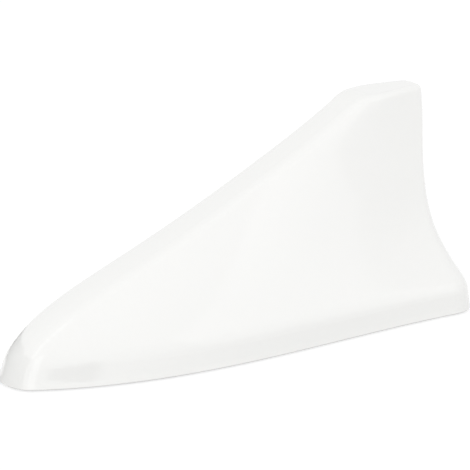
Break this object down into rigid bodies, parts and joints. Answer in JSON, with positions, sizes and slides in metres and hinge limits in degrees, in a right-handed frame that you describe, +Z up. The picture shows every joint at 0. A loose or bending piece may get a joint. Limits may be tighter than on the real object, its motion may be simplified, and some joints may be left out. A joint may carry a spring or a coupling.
{
  "type": "shark fin aerial",
  "caption": "Fin-shaped roof aerial: a gloss moulded cover with a raked spine and lipped skirt, screwed to a base plate that carries an amplifier and an upright aerial board.",
  "frame": {"origin": "on the roof plane, below the middle of the aerial's length and width", "axes": "+X to the tail, -X to the nose, +Y to the right-hand side seen from the tail, +Z up from the roof"},
  "size_m": [0.166, 0.0574, 0.071],
  "materials": {
    "cover_white": "white gloss moulding with a clear top coat",
    "base_black": "black moulding with a fine grain",
    "seal_rubber": "soft black rubber",
    "tape_foam": "dark foam tape",
    "screw_steel": "plated steel",
    "board_green": "lacquered circuit board",
    "tin_plate": "tinned sheet",
    "rattle_foam": "open grey foam",
    "former_white": "undyed nylon",
    "coil_copper": "lacquered copper wire",
    "chip_black": "moulded chip case",
    "capacitor_tan": "fired ceramic",
    "inductor_grey": "ferrite",
    "socket_cream": "moulded socket",
    "contact_brass": "gilded contact",
    "grommet_rubber": "soft black rubber"
  },
  "bodies": {
    "root": {"cover_shell": "cover_white", "base_plate": "base_black", "cover_seal": "seal_rubber", "adhesive_pad": "tape_foam", "cover_screws": "screw_steel", "amplifier_board": "board_green", "board_screws": "screw_steel", "element_board": "board_green", "top_plate": "tin_plate", "rattle_pad": "rattle_foam", "coil_former": "former_white", "loading_coil": "coil_copper", "shield_can": "tin_plate", "amplifier_chip": "chip_black", "chip_capacitors": "capacitor_tan", "chip_inductors": "inductor_grey", "coax_socket": "socket_cream", "coax_contact": "contact_brass", "power_socket": "socket_cream", "power_pins": "contact_brass", "lead_grommet": "grommet_rubber"}
  },
  "joints": []
}
